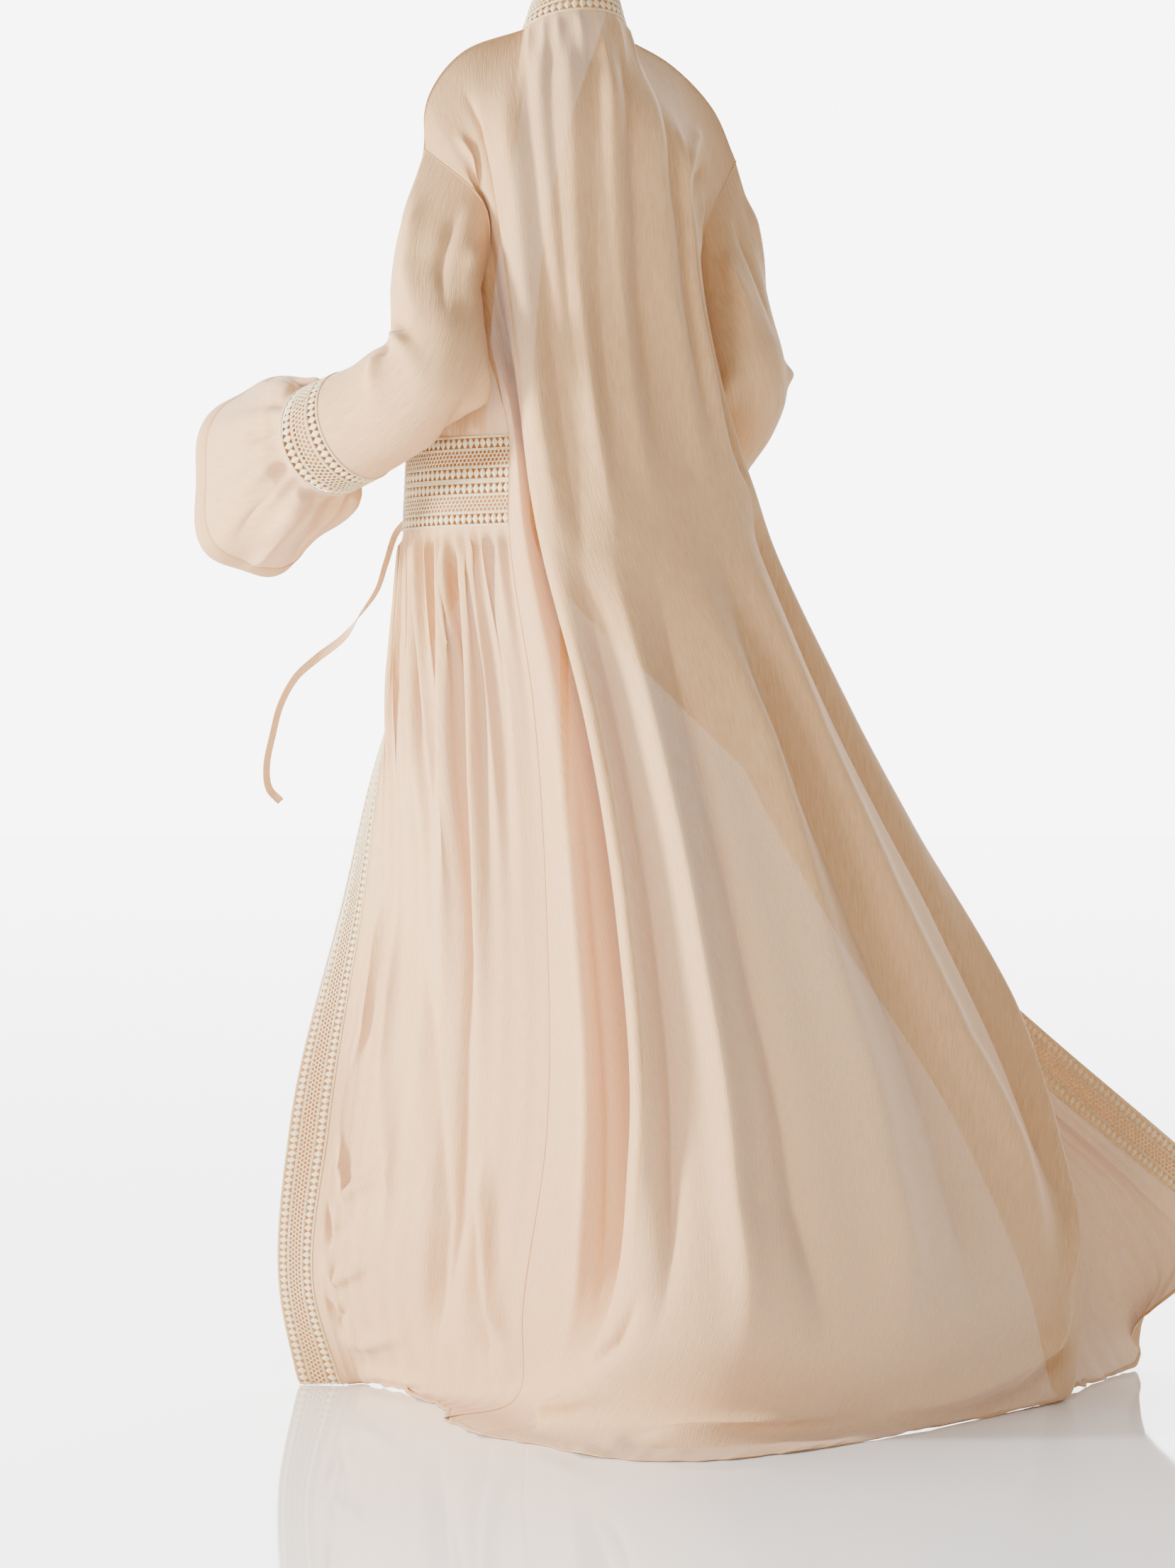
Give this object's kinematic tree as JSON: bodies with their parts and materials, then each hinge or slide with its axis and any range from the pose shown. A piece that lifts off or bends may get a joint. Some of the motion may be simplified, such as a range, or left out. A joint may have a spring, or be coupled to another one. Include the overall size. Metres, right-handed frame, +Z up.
{
  "type": "abaya",
  "caption": "Full-length open-front abaya in crinkled crepe with crochet lace trims, bell cuffs and front ties, held in the pose of its wearer.",
  "frame": {"origin": "middle of the neck at the height of the nape seam, between the shoulders on which the garment rests", "axes": "+X towards the wearer's left, -Y towards the front, +Z up; the floor lies 1.56 m below the origin"},
  "size_m": [1.2175, 0.7633, 1.6079],
  "materials": {
    "crepe": "semi-sheer crinkled crepe, matt",
    "lace": "cotton crochet lace, matt",
    "ribbon": "flat woven ribbon, slight sheen"
  },
  "bodies": {
    "root": {"back_left_upper": "crepe", "back_left_lower": "crepe", "back_middle_upper": "crepe", "back_middle_lower": "crepe", "back_right_upper": "crepe", "back_right_lower": "crepe", "front_left": "crepe", "front_right": "crepe", "waist_lace_left": "lace", "waist_lace_right": "lace", "skirt_left": "crepe", "skirt_right": "crepe", "collar_lace": "lace", "edge_lace_left": "lace", "edge_lace_right": "lace", "sleeve_left_under": "crepe", "sleeve_left_over": "crepe", "sleeve_right_under": "crepe", "sleeve_right_over": "crepe", "cuff_lace_left_under": "lace", "cuff_lace_left_over": "lace", "cuff_lace_right_under": "lace", "cuff_lace_right_over": "lace", "bell_left": "crepe", "bell_right": "crepe", "tie_left": "ribbon", "tie_right": "ribbon"}
  },
  "joints": []
}
